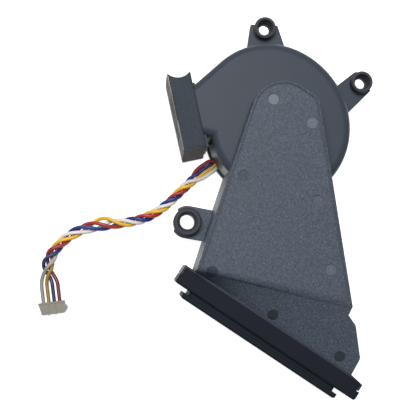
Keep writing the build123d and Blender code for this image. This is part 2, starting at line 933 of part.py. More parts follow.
clip_high = lower_bearing_low - slack
with BuildPart() as shaft:
    with BuildSketch(Plane.XY.offset(shaft_low)):
        Circle(shaft_radius)
    extrude(amount=yoke_top + back_thick + hub_height / 2 - shaft_low)
    add(ring(2 * shaft_radius, clip_groove, clip_high - clip_thick, clip_high), mode=Mode.SUBTRACT)
    chamfer(shaft.edges().group_by(Axis.Z)[0], slack)
save(shaft, "shaft")

with BuildPart() as retaining_clip:
    with BuildSketch(Plane.XY.offset(clip_high - clip_thick)):
        Circle(clip_radius)
        Circle(clip_groove + slack, mode=Mode.SUBTRACT)
        Rectangle(clip_radius, clip_groove, align=(Align.MIN, Align.CENTER), mode=Mode.SUBTRACT)
    extrude(amount=clip_thick)
save(retaining_clip, "retaining_clip")


# Impeller with swept-back blades, and the shroud that closes them from above

back_top = yoke_top + slack + back_thick
shroud_mouth = eye_radius - shroud_gap - shroud_thick
shroud_corner = (shroud_mouth, back_top + shroud_rise)
shroud_tip = (impeller_radius, back_top + shroud_tip_height)
shroud_neck_top = scroll_top - wall
with BuildPart() as impeller:
    with BuildSketch(Plane.XY.offset(back_top - back_thick / 2)):
        for i in range(blade_count):
            turn = i * 360 / blade_count
            with BuildLine():
                SagittaArc(polar(blade_root, turn), polar(impeller_radius, turn - blade_sweep), blade_bulge)
            trace(line_width=blade_thick)
    extrude(amount=scroll_top)
    with BuildSketch(Plane.XZ):
        with BuildLine():
            Polyline(
                (shroud_tip[0] - slack, shroud_tip[1] - slack),
                (shroud_tip[0] - slack, 0),
                (blade_root, 0),
                (blade_root, back_top + blade_root_height),
                (shroud_corner[0], shroud_corner[1] - slack),
                close=True,
            )
        make_face()
    revolve(axis=Axis.Z, mode=Mode.INTERSECT)
    with BuildSketch(Plane.XZ):
        with BuildLine():
            Polyline(
                (shaft_radius + slack, back_top - back_thick),
                (impeller_radius, back_top - back_thick),
                (impeller_radius, back_top),
                (hub_radius, back_top),
                (shaft_radius + 2 * back_thick, back_top + hub_height),
                (shaft_radius + slack, back_top + hub_height),
                close=True,
            )
        make_face()
    revolve(axis=Axis.Z)
    skirt_inner = yoke_radius + slack
    skirt_top = back_top - back_thick
    add(ring(skirt_inner + skirt_wall, skirt_inner, skirt_top - skirt_length, skirt_top))
save(impeller, "impeller")

with BuildPart() as impeller_shroud:
    half = shroud_thick / 2
    with BuildSketch(Plane.XZ):
        with BuildLine():
            Polyline(
                (shroud_corner[0] + half, shroud_neck_top),
                (shroud_corner[0] + half, shroud_corner[1] + half + shroud_bend),
                (shroud_corner[0] + half + shroud_bend, shroud_corner[1] + half),
                (shroud_tip[0], shroud_tip[1] + half),
            )
        trace(line_width=shroud_thick)
    revolve(axis=Axis.Z)
save(impeller_shroud, "impeller_shroud")


# Lead: straight runs joined by the largest tangent arcs that fit

def route_radii(points):
    radii = []
    for a, b, c in zip(points, points[1:], points[2:]):
        before = Vector(*b) - Vector(*a)
        after = Vector(*c) - Vector(*b)
        half_turn = radians(before.get_angle(after) / 2)
        radii.append(arc_share * min(before.length, after.length) / tan(half_turn))
    return radii


bend_radii = route_radii(lead_route)
print("lead bend radii:", [round(r, 1) for r in bend_radii])
with BuildPart() as lead:
    with BuildLine() as lead_line:
        lead_path = FilletPolyline(*lead_route, radius=bend_radii)
    with BuildSketch(Plane(origin=lead_path @ 0, z_dir=lead_path % 0)):
        Circle(lead_radius)
    sweep(path=lead_path)
lead_length = lead_path.length
print("lead length:", round(lead_length, 2))
tube_volume = pi * lead_radius**2 * lead_length
print("lead volume over section times length:", round(lead.part.volume / tube_volume, 4))
save(lead, "lead")


# Plug: four ways side by side, with two ribs on top, a rim round its entry and a lug on one side

way_places = [(plug_pitch * (i - (plug_ways - 1) / 2), 0) for i in range(plug_ways)]
plug_half = plug_pitch * (plug_ways - 1) / 2 + plug_side
plug_top = plug_plane.origin + Vector(0, 0, plug_high / 2)
top_plane = Plane(origin=plug_top, x_dir=plug_plane.x_dir, z_dir=(0, 0, 1))
with BuildPart() as plug_housing:
    with BuildSketch(top_plane):
        with BuildLine():
            Polyline(
                (-plug_half, 0),
                (plug_half, 0),
                (plug_half, -lug_from),
                (plug_half + lug_proud, -lug_from - lug_slope),
                (plug_half + lug_proud, -lug_to),
                (plug_half - lug_slope, -plug_length),
                (plug_taper - plug_half, -plug_length),
                close=True,
            )
        make_face()
    extrude(amount=-plug_high)
    with BuildSketch(top_plane):
        with Locations((-plug_rib_at, 0), (plug_rib_at, 0)):
            Rectangle(plug_rib, plug_length + plug_rib_proud, align=(Align.CENTER, Align.MAX))
        Rectangle(2 * plug_half, plug_rim, align=(Align.CENTER, Align.MAX))
    extrude(amount=plug_rim_proud)
    with BuildSketch(plug_plane):
        with Locations(*way_places):
            Rectangle(contact_width + 2 * slack, contact_high + 2 * slack)
    extrude(amount=plug_length, mode=Mode.SUBTRACT)
save(plug_housing, "plug_housing")

with BuildPart() as plug_contacts:
    with BuildSketch(plug_plane.offset(slack)):
        with Locations(*way_places):
            Rectangle(contact_width, contact_high)
    extrude(amount=plug_length - wall)
save(plug_contacts, "plug_contacts")
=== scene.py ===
# Suction fan module of a floor-cleaning robot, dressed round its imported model.
# Metres, in the model's own frame: the fan turns about +Z and the mouth faces -Y.

import math

import bmesh
import bpy
from mathutils import Matrix, Vector, noise


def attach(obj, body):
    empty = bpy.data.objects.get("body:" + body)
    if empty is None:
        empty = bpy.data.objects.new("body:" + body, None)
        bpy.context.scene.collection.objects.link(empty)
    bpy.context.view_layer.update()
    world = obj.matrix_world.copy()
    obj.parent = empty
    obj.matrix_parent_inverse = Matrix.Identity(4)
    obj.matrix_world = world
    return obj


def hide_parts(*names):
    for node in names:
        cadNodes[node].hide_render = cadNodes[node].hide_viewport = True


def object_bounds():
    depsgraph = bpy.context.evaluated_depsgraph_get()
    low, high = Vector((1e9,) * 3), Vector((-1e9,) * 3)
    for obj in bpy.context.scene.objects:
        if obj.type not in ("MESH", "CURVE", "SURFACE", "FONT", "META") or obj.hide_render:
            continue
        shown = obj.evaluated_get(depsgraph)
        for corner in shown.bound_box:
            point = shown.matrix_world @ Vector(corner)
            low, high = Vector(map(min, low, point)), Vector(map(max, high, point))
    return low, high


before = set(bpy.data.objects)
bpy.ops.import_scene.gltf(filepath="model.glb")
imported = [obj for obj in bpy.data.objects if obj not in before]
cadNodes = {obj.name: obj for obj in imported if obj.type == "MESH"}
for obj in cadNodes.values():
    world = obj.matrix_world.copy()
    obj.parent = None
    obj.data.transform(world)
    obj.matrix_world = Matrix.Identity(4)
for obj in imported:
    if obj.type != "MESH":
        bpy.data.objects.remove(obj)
cadLow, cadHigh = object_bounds()
print("frame loaded:", len(cadNodes), "nodes")
white = (1, 1, 1, 1)


def linkNew(name, data):
    made = bpy.data.objects.new(name, data)
    bpy.context.scene.collection.objects.link(made)
    return made


# Camera, floor and light

stage = {
    "cameraPlace": (-0.0109, -0.0641, 0.3400),
    "cameraAim": (-0.0025, -0.0358, 0.0),
    "photoUp": (-0.5549, 0.8301, 0.0553),
    "focalPixels": 900,
    "photoPixels": 420,
    "sensorWidth": 36,
    "nearest": 0.01,
    "farthest": 20,
    "floorSize": 3.0,
    "floorDrop": 0.0001,
    "floorPaper": 0.82,
    "floorBounce": 0.10,
    "floorGlow": 0.88,
    "paperStrength": 1.0,
    "skyStrength": 0.05,
    "keyPlace": (-0.20, 0.10, 0.76),
    "keySize": 0.45,
    "keyPower": 6.2,
}


def makeCamera():
    camera = linkNew("camera", bpy.data.cameras.new("camera"))
    place = Vector(stage["cameraPlace"])
    back = (place - Vector(stage["cameraAim"])).normalized()
    right = Vector(stage["photoUp"]).cross(back).normalized()
    turn = Matrix((right, back.cross(right), back)).transposed()
    camera.matrix_world = Matrix.Translation(place) @ turn.to_4x4()
    camera.data.sensor_width = stage["sensorWidth"]
    camera.data.lens = stage["sensorWidth"] * stage["focalPixels"] / stage["photoPixels"]
    camera.data.clip_start = stage["nearest"]
    camera.data.clip_end = stage["farthest"]
    bpy.context.scene.camera = camera


# The camera, and what surfaces mirror or let through, see the white ground. The soft light that
# floor and sky give the object is set apart from it, by floorBounce and skyStrength.
def seenAsPaper(tree):
    path = tree.nodes.new("ShaderNodeLightPath")
    seen = path.outputs["Is Camera Ray"]
    for ray in ("Is Glossy Ray", "Is Transmission Ray"):
        either = tree.nodes.new("ShaderNodeMath")
        either.operation = "MAXIMUM"
        tree.links.new(seen, either.inputs[0])
        tree.links.new(path.outputs[ray], either.inputs[1])
        seen = either.outputs[0]
    return seen


def pickShader(tree, unseen, seen, output):
    pick = tree.nodes.new("ShaderNodeMixShader")
    tree.links.new(seenAsPaper(tree), pick.inputs[0])
    tree.links.new(unseen.outputs[0], pick.inputs[1])
    tree.links.new(seen.outputs[0], pick.inputs[2])
    tree.links.new(pick.outputs[0], output.inputs["Surface"])


def addShader(tree, kind, colour, strength=None):
    shader = tree.nodes.new(kind)
    shader.inputs["Color"].default_value = colour
    if strength is not None:
        shader.inputs["Strength"].default_value = strength
    return shader


def makeFloor():
    size = stage["floorSize"]
    bm = bmesh.new()
    bmesh.ops.create_grid(bm, x_segments=1, y_segments=1, size=size / 2)
    bmesh.ops.translate(bm, verts=bm.verts, vec=(0, 0, cadLow.z - stage["floorDrop"]))
    mesh = bpy.data.meshes.new("floor")
    bm.to_mesh(mesh)
    bm.free()
    floor = linkNew("floor", mesh)
    material = bpy.data.materials.new("studioFloor")
    material.use_nodes = True
    tree = material.node_tree
    tree.nodes.clear()
    output = tree.nodes.new("ShaderNodeOutputMaterial")
    paper = addShader(tree, "ShaderNodeBsdfDiffuse", (*(stage["floorPaper"],) * 3, 1))
    bounce = addShader(tree, "ShaderNodeBsdfDiffuse", (*(stage["floorBounce"],) * 3, 1))
    glow = addShader(tree, "ShaderNodeEmission", white, stage["floorGlow"])
    both = tree.nodes.new("ShaderNodeAddShader")
    tree.links.new(paper.outputs[0], both.inputs[0])
    tree.links.new(glow.outputs[0], both.inputs[1])
    pickShader(tree, bounce, both, output)
    floor.data.materials.append(material)


def makeLight():
    world = bpy.data.worlds.new("studio")
    bpy.context.scene.world = world
    world.use_nodes = True
    tree = world.node_tree
    tree.nodes.clear()
    output = tree.nodes.new("ShaderNodeOutputWorld")
    sky = addShader(tree, "ShaderNodeBackground", white, stage["skyStrength"])
    paper = addShader(tree, "ShaderNodeBackground", white, stage["paperStrength"])
    pickShader(tree, sky, paper, output)
    lamp = bpy.data.lights.new("keyLight", "AREA")
    lamp.shape = "SQUARE"
    lamp.size = stage["keySize"]
    lamp.energy = stage["keyPower"]
    key = linkNew("keyLight", lamp)
    key.location = stage["keyPlace"]
    key.rotation_euler = (-Vector(stage["keyPlace"])).to_track_quat("-Z", "Y").to_euler()


makeCamera()
makeFloor()
makeLight()
bpy.context.scene.view_settings.view_transform = "Standard"
print("stage set")


# Lead: four wires twisted together, spread flat at the housing and at the plug

lead = {
    "route": (
        (-0.0071, -0.0134, 0.0030),
        (-0.0127, -0.0239, 0.0030),
        (-0.0156, -0.0356, 0.0022),
        (-0.0171, -0.0434, 0.0019),
        (-0.0199, -0.0503, 0.0019),
        (-0.0249, -0.0565, 0.0019),
        (-0.0329, -0.0628, 0.0019),
        (-0.0396, -0.0697, 0.0019),
        (-0.0427, -0.0783, 0.0019),
        (-0.0415, -0.0865, 0.0021),
        (-0.0373, -0.0916, 0.0023),
        (-0.0326, -0.0970, 0.0023),
    ),
    "exit": (-0.0117, -0.0220, 0.0030),
    "length": 0.0977,
    "diameter": 0.0036,
    "routeSteps": 16,
    "routeOrder": 3,
    "wireRadius": 0.00070,
    "wireRounding": 3,
    "twistOrder": ("wireWhite", "wireYellow", "wireRed", "wireBlue"),
    # how far along the lead, how many turns made there, how far the wires lie from its middle
    "twist": (
        (0.0000, -1.20, 0.00105),
        (0.0090, -0.62, 0.00105),
        (0.0190, 0.00, 0.00120),
        (0.0327, 1.00, 0.00110),
        (0.0400, 1.50, 0.00130),
        (0.0468, 2.00, 0.00112),
        (0.0570, 2.50, 0.00160),
        (0.0684, 3.00, 0.00135),
        (0.0772, 3.50, 0.00140),
        (0.0844, 4.00, 0.00125),
        (0.0880, 4.22, 0.00120),
        (0.1000, 4.25, 0.00110),
    ),
    # which wire bulges out of the twist, how far along, over what length, by how much
    "loops": (
        ("wireYellow", 0.0575, 0.0050, 0.0010),
        ("wireBlue", 0.0825, 0.0030, 0.0010),
        ("wireRed", 0.0785, 0.0025, 0.0006),
        ("wireWhite", 0.0895, 0.0035, 0.0006),
    ),
    "exitFan": {"from": 0.0055, "full": 0.0095, "hold": 0.0135, "gone": 0.0195, "pitch": 0.00138},
    "exitFlatness": 0.85,
    "exitOrder": ("wireRed", "wireBlue", "wireYellow", "wireWhite"),
    "plugFan": {"from": 0.0850, "full": 0.0915, "pitch": 0.0020},
    "plugOrder": ("wireWhite", "wireYellow", "wireBlue", "wireRed"),
    "wobble": 0.00014,
    "wobbleScale": 120,
    "wobbleShift": 3.1,
    "wobbleRow": 0.7,
    "smoothing": 0.0022,
    "smoothingSteps": (-1, -0.5, 0, 0.5, 1),
    # painted shade: the wires grow darker towards the plug end
    "plugShadeStart": 0.0760,
    "plugShadeSpan": 0.0120,
    "plugShadeShare": 0.9,
    "plugShadeLevel": 0.55,
    "colours": {
        "wireWhite": (240, 237, 228),
        "wireYellow": (250, 194, 50),
        "wireRed": (174, 48, 42),
        "wireBlue": (28, 42, 124),
    },
}


def readRoute(points):
    curve = bpy.data.curves.new("leadRoute", "CURVE")
    curve.dimensions = "3D"
    curve.resolution_u = lead["routeSteps"]
    spline = curve.splines.new("NURBS")
    spline.points.add(len(points) - 1)
    for point, place in zip(spline.points, points):
        point.co = (*place, 1.0)
    spline.order_u = lead["routeOrder"]
    spline.use_endpoint_u = True
    carrier = linkNew("leadRoute", curve)
    bpy.context.view_layer.update()
    mesh = bpy.data.meshes.new_from_object(carrier)
    places = [vertex.co.copy() for vertex in mesh.vertices]
    bpy.data.objects.remove(carrier)
    return places


def smoothStep(value):
    value = min(max(value, 0.0), 1.0)
    return value * value * (3 - 2 * value)


# Value of one column of the twist's table at a place along the lead
def rowValue(run, column):
    rows = lead["twist"]
    for before, after in zip(rows, rows[1:]):
        if run <= after[0]:
            share = (run - before[0]) / (after[0] - before[0])
            return before[column] + (after[column] - before[column]) * share
    return rows[-1][column]


# The same, averaged over a short stretch of the lead
def softValue(run, column):
    steps = lead["smoothingSteps"]
    nearby = [rowValue(max(run + step * lead["smoothing"], 0.0), column) for step in steps]
    return sum(nearby) / len(steps)


# How far the wires are spread flat: at the housing, and at the plug
def fanShares(run):
    atExit = lead["exitFan"]
    opened = smoothStep((run - atExit["from"]) / (atExit["full"] - atExit["from"]))
    closed = smoothStep((run - atExit["hold"]) / (atExit["gone"] - atExit["hold"]))
    atPlug = lead["plugFan"]
    spread = smoothStep((run - atPlug["from"]) / (atPlug["full"] - atPlug["from"]))
    return opened * (1 - closed), spread


def fanPlace(order, name, pitch):
    return ((len(order) - 1) / 2 - order.index(name)) * pitch


def strandPlaces(path, name, index):
    upright = Vector((0, 0, 1))
    run = 0.0
    places = []
    for i, centre in enumerate(path):
        if i:
            run += (centre - path[i - 1]).length
        along = (path[min(i + 1, len(path) - 1)] - path[max(i - 1, 0)]).normalized()
        side = along.cross(upright).normalized()
        over = side.cross(along)
        turn = math.pi / 2 - 2 * math.pi * (softValue(run, 1) - index / len(lead["twistOrder"]))
        spot = (run * lead["wobbleScale"], lead["wobbleShift"] * index, lead["wobbleRow"])
        radius = softValue(run, 2) + lead["wobble"] * noise.noise(spot)
        sideways = math.cos(turn) * radius
        for looped, middle, reach, extra in lead["loops"]:
            if looped == name:
                sideways += extra * math.exp(-(((run - middle) / reach) ** 2))
        upwards = math.sin(turn) * radius
        exitShare, plugShare = fanShares(run)
        exitSide = fanPlace(lead["exitOrder"], name, lead["exitFan"]["pitch"])
        plugSide = fanPlace(lead["plugOrder"], name, lead["plugFan"]["pitch"])
        sideways += (exitSide - sideways) * exitShare
        sideways += (plugSide - sideways) * plugShare
        upwards *= (1 - lead["exitFlatness"] * exitShare) * (1 - plugShare)
        place = centre + side * sideways + over * upwards
        place.z = max(place.z, cadLow.z + lead["wireRadius"])
        places.append(place)
    return places


def makeLeadPiece(materials):
    path = readRoute(lead["route"])
    bm = bmesh.new()
    mesh = bpy.data.meshes.new("twistedLead")
    for index, name in enumerate(lead["twistOrder"]):
        mesh.materials.append(materials[name])
        curve = bpy.data.curves.new(name, "CURVE")
        curve.dimensions = "3D"
        curve.bevel_depth = lead["wireRadius"]
        curve.bevel_resolution = lead["wireRounding"]
        curve.use_fill_caps = True
        places = strandPlaces(path, name, index)
        spline = curve.splines.new("POLY")
        spline.points.add(len(places) - 1)
        for point, place in zip(spline.points, places):
            point.co = (*place, 1.0)
        carrier = linkNew(name, curve)
        bpy.context.view_layer.update()
        known = len(bm.faces)
        bm.from_mesh(bpy.data.meshes.new_from_object(carrier))
        bm.faces.ensure_lookup_table()
        for face in bm.faces[known:]:
            face.material_index = index
            face.smooth = True
        bpy.data.objects.remove(carrier)
    bm.to_mesh(mesh)
    bm.free()
    piece = linkNew("twistedLead", mesh)
    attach(piece, "housing")
    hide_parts("lead")
    print("lead made, points:", len(path))


# Node groups shared by the materials

def newGroup(name, inputs, outputs):
    group = bpy.data.node_groups.new(name, "ShaderNodeTree")
    for label, value in inputs:
        kind = "NodeSocketColor" if isinstance(value, tuple) else "NodeSocketFloat"
        socket = group.interface.new_socket(label, in_out="INPUT", socket_type=kind)
        socket.default_value = value
    for label, kind in outputs:
        group.interface.new_socket(label, in_out="OUTPUT", socket_type=kind)
    return group, group.nodes.new("NodeGroupInput"), group.nodes.new("NodeGroupOutput")


def addMath(tree, operation, first, second, clamp=False):
    node = tree.nodes.new("ShaderNodeMath")
    node.operation = operation
    node.use_clamp = clamp
    for socket, value in zip(node.inputs, (first, second)):
        if isinstance(value, (int, float)):
            socket.default_value = value
        else:
            tree.links.new(value, socket)
    return node.outputs[0]


def addMix(tree, blend, factor, first, second):
    node = tree.nodes.new("ShaderNodeMix")
    node.data_type = "RGBA"
    node.blend_type = blend
    for socket, value in ((node.inputs[0], factor), (node.inputs[6], first), (node.inputs[7], second)):
        if isinstance(value, (int, float, tuple)):
            socket.default_value = value
        else:
            tree.links.new(value, socket)
    return node.outputs[2]


def addNoise(tree, scaleFrom, factor, detail, roughness):
    coords = tree.nodes.new("ShaderNodeTexCoord")
    texture = tree.nodes.new("ShaderNodeTexNoise")
    texture.inputs["Detail"].default_value = detail
    texture.inputs["Roughness"].default_value = roughness
    tree.links.new(coords.outputs["Object"], texture.inputs["Vector"])
    tree.links.new(addMath(tree, "MULTIPLY", scaleFrom, factor), texture.inputs["Scale"])
    return texture.outputs["Fac"]


grain = {
    "fine": {"factor": 1.0, "detail": 3.0, "roughness": 0.65},
    "patch": {"factor": 0.02, "detail": 2.0, "roughness": 0.5},
    "middle": 0.5,
}


def makeGrainGroup():
    group, start, end = newGroup(
        "sparkGrain",
        [("Colour", (0.5, 0.5, 0.5, 1.0)), ("Scale", 2500.0), ("Contrast", 0.3), ("Patches", 0.1)],
        [("Colour", "NodeSocketColor"), ("Height", "NodeSocketFloat")],
    )
    fine = addNoise(group, start.outputs["Scale"], **grain["fine"])
    patch = addNoise(group, start.outputs["Scale"], **grain["patch"])
    fineAway = addMath(group, "SUBTRACT", fine, grain["middle"])
    fineSwing = addMath(group, "MULTIPLY", fineAway, start.outputs["Contrast"])
    patchAway = addMath(group, "SUBTRACT", patch, grain["middle"])
    patchSwing = addMath(group, "MULTIPLY", patchAway, start.outputs["Patches"])
    level = addMath(group, "ADD", addMath(group, "ADD", fineSwing, patchSwing), 1.0)
    shade = group.nodes.new("ShaderNodeCombineColor")
    for socket in shade.inputs:
        group.links.new(level, socket)
    colour = addMix(group, "MULTIPLY", 1.0, start.outputs["Colour"], shade.outputs[0])
    group.links.new(colour, end.inputs["Colour"])
    group.links.new(fine, end.inputs["Height"])
    return group


edges = {
    "samples": 4,
    "gain": 4.0,
}


# Edge: a mask of rounded edges, which the finishes use for a painted edge highlight or edge shade;
# Normal: the rounded shading normal
def makeEdgeGroup():
    group, start, end = newGroup(
        "softEdge",
        [("Width", 0.0004)],
        [("Edge", "NodeSocketFloat"), ("Normal", "NodeSocketVector")],
    )
    bevel = group.nodes.new("ShaderNodeBevel")
    bevel.samples = edges["samples"]
    group.links.new(start.outputs["Width"], bevel.inputs["Radius"])
    shape = group.nodes.new("ShaderNodeNewGeometry")
    dot = group.nodes.new("ShaderNodeVectorMath")
    dot.operation = "DOT_PRODUCT"
    group.links.new(bevel.outputs["Normal"], dot.inputs[0])
    group.links.new(shape.outputs["True Normal"], dot.inputs[1])
    away = addMath(group, "SUBTRACT", 1.0, dot.outputs["Value"], clamp=True)
    edge = addMath(group, "MULTIPLY", away, edges["gain"], clamp=True)
    group.links.new(edge, end.inputs["Edge"])
    group.links.new(bevel.outputs["Normal"], end.inputs["Normal"])
    return group


pinMarks = {
    # where each mark is, how much lighter it is than the roof (darker if negative), and if it has rings
    "places": (
        (-0.0062, 0.0057, 1.0, False),
        (0.0094, 0.0064, 1.0, True),
        (0.0260, -0.0152, 0.15, False),
        (0.0427, -0.0326, 0.4, False),
        (-0.0001, -0.0223, -0.3, False),
        (0.0090, -0.0558, -0.6, False),
        (0.0354, -0.05635, -0.8, False),
        (0.0631, -0.0556, -0.8, False),
    ),
    "radius": 0.00195,
    "softness": 0.00015,
    "ringPitch": 0.0009,
    "ringDepth": 0.35,
}


def makePinGroup():
    group, start, end = newGroup(
        "pinMarks",
        [("Radius", pinMarks["radius"]), ("Softness", pinMarks["softness"])],
        [("Lift", "NodeSocketFloat"), ("Sink", "NodeSocketFloat")],
    )
    coords = group.nodes.new("ShaderNodeTexCoord")
    flat = group.nodes.new("ShaderNodeVectorMath")
    flat.operation = "MULTIPLY"
    flat.inputs[1].default_value = (1, 1, 0)
    group.links.new(coords.outputs["Object"], flat.inputs[0])
    lift = 0.0
    sink = 0.0
    for x, y, weight, ringed in pinMarks["places"]:
        reach = group.nodes.new("ShaderNodeVectorMath")
        reach.operation = "DISTANCE"
        reach.inputs[1].default_value = (x, y, 0)
        group.links.new(flat.outputs["Vector"], reach.inputs[0])
        inside = addMath(group, "SUBTRACT", start.outputs["Radius"], reach.outputs["Value"])
        mark = addMath(group, "DIVIDE", inside, start.outputs["Softness"], clamp=True)
        if ringed:
            depth = pinMarks["ringDepth"]
            turn = addMath(group, "MULTIPLY", reach.outputs["Value"], 2 * math.pi / pinMarks["ringPitch"])
            wave = addMath(group, "MULTIPLY", addMath(group, "COSINE", turn, 0.0), depth)
            mark = addMath(group, "MULTIPLY", mark, addMath(group, "ADD", wave, 1 - depth))
        amount = addMath(group, "MULTIPLY", mark, abs(weight))
        if weight > 0:
            lift = addMath(group, "ADD", amount, lift)
        else:
            sink = addMath(group, "ADD", amount, sink)
    group.links.new(lift, end.inputs["Lift"])
    group.links.new(sink, end.inputs["Sink"])
    return group


def makeSpeckGroup():
    group, start, end = newGroup(
        "lightSpecks",
        [("Scale", 700.0), ("Size", 0.2)],
        [("Specks", "NodeSocketFloat")],
    )
    coords = group.nodes.new("ShaderNodeTexCoord")
    cells = group.nodes.new("ShaderNodeTexVoronoi")
    group.links.new(coords.outputs["Object"], cells.inputs["Vector"])
    group.links.new(start.outputs["Scale"], cells.inputs["Scale"])
    inside = addMath(group, "SUBTRACT", start.outputs["Size"], cells.outputs["Distance"])
    specks = addMath(group, "DIVIDE", inside, start.outputs["Size"], clamp=True)
    group.links.new(specks, end.inputs["Specks"])
    return group


def makeWeaveGroup():
    group, start, end = newGroup(
        "openWeave",
        [("Threads", 50.0), ("Share", 0.5)],
        [("Cover", "NodeSocketFloat")],
    )
    coords = group.nodes.new("ShaderNodeTexCoord")
    split = group.nodes.new("ShaderNodeSeparateXYZ")
    group.links.new(coords.outputs["UV"], split.inputs[0])
    threads = []
    for axis in ("X", "Y"):
        place = addMath(group, "MULTIPLY", split.outputs[axis], start.outputs["Threads"])
        part = addMath(group, "FRACT", place, 0.0)
        threads.append(addMath(group, "LESS_THAN", part, start.outputs["Share"]))
    cover = addMath(group, "MAXIMUM", threads[0], threads[1])
    group.links.new(cover, end.inputs["Cover"])
    return group


# Share that grows towards -Y, used for painted shade: it darkens the duct's collar and the lead's plug
# end
def makeTowardsMouthGroup():
    group, start, end = newGroup(
        "towardsMouth",
        [("Start", 0.058), ("Span", 0.001)],
        [("Share", "NodeSocketFloat")],
    )
    coords = group.nodes.new("ShaderNodeTexCoord")
    split = group.nodes.new("ShaderNodeSeparateXYZ")
    group.links.new(coords.outputs["Object"], split.inputs[0])
    past = addMath(group, "ADD", split.outputs["Y"], start.outputs["Start"])
    ahead = addMath(group, "MULTIPLY", past, -1.0)
    share = addMath(group, "DIVIDE", ahead, start.outputs["Span"], clamp=True)
    group.links.new(share, end.inputs["Share"])
    return group


grainGroup = makeGrainGroup()
mouthGroup = makeTowardsMouthGroup()
weaveGroup = makeWeaveGroup()
edgeGroup = makeEdgeGroup()
pinGroup = makePinGroup()
speckGroup = makeSpeckGroup()


# Materials

def startMaterial(name):
    material = bpy.data.materials.new(name)
    material.use_nodes = True
    tree = material.node_tree
    return material, tree, tree.nodes["Principled BSDF"]


def placeGroup(tree, group, **values):
    node = tree.nodes.new("ShaderNodeGroup")
    node.node_tree = group
    for label, value in values.items():
        node.inputs[label].default_value = value
    return node


# A colour as it is seen on screen, 0 to 255, turned into the linear values that a shader takes
screen = {
    "top": 255,
    "knee": 0.04045,
    "slope": 12.92,
    "offset": 0.055,
    "power": 2.4,
}


def paint(*levels):
    colour = []
    for level in levels:
        share = level / screen["top"]
        if share <= screen["knee"]:
            colour.append(share / screen["slope"])
        else:
            colour.append(((share + screen["offset"]) / (1 + screen["offset"])) ** screen["power"])
    return (*colour, 1.0)


def makeFinish(name, look):
    material, tree, shader = startMaterial(name)
    grained = placeGroup(
        tree,
        grainGroup,
        Colour=paint(*look["colour"]),
        Scale=look["grainScale"],
        Contrast=look["grainContrast"],
        Patches=look["patches"],
    )
    edge = placeGroup(tree, edgeGroup, Width=look["edgeWidth"])
    # Painted highlight along edges where the edge colour is lighter than the colour, painted shade where
    # it is darker
    lift = addMath(tree, "MULTIPLY", edge.outputs["Edge"], look["paintedEdgeShare"])
    colour = addMix(tree, "MIX", lift, grained.outputs["Colour"], paint(*look["paintedEdgeColour"]))
    swing = addMath(tree, "MULTIPLY", grained.outputs["Height"], look["roughSwing"])
    rough = addMath(tree, "ADD", swing, look["roughness"] - look["roughSwing"] / 2)
    if "speckScale" in look:
        specks = placeGroup(tree, speckGroup, Scale=look["speckScale"], Size=look["speckSize"])
        amount = addMath(tree, "MULTIPLY", specks.outputs["Specks"], look["speckShare"])
        colour = addMix(tree, "MIX", amount, colour, paint(*look["speckColour"]))
    if "pinLift" in look:
        marks = placeGroup(tree, pinGroup)
        for side, share, shade in (("Lift", "pinLift", "pinLight"), ("Sink", "pinSink", "pinDark")):
            amount = addMath(tree, "MULTIPLY", marks.outputs[side], look[share])
            colour = addMix(tree, "MIX", amount, colour, paint(*look[shade]))
    # Painted shade on the duct's collar, darker towards the mouth
    if "collarShadeStart" in look:
        part = placeGroup(tree, mouthGroup, Start=look["collarShadeStart"], Span=look["collarShadeSpan"])
        amount = addMath(tree, "MULTIPLY", part.outputs["Share"], look["collarShadeShare"])
        colour = addMix(tree, "MIX", amount, colour, paint(*look["collarShadeColour"]))
    tree.links.new(colour, shader.inputs["Base Color"])
    tree.links.new(rough, shader.inputs["Roughness"])
    bump = tree.nodes.new("ShaderNodeBump")
    bump.inputs["Strength"].default_value = look["bumpStrength"]
    bump.inputs["Distance"].default_value = look["bumpDepth"]
    tree.links.new(grained.outputs["Height"], bump.inputs["Height"])
    tree.links.new(edge.outputs["Normal"], bump.inputs["Normal"])
    tree.links.new(bump.outputs["Normal"], shader.inputs["Normal"])
    if "threads" in look:
        weave = placeGroup(tree, weaveGroup, Threads=look["threads"], Share=look["threadShare"])
        tree.links.new(weave.outputs["Cover"], shader.inputs["Alpha"])
    shader.inputs["Metallic"].default_value = look.get("metallic", 0.0)
    shader.inputs["Specular IOR Level"].default_value = look.get("specular", 0.5)
    return material


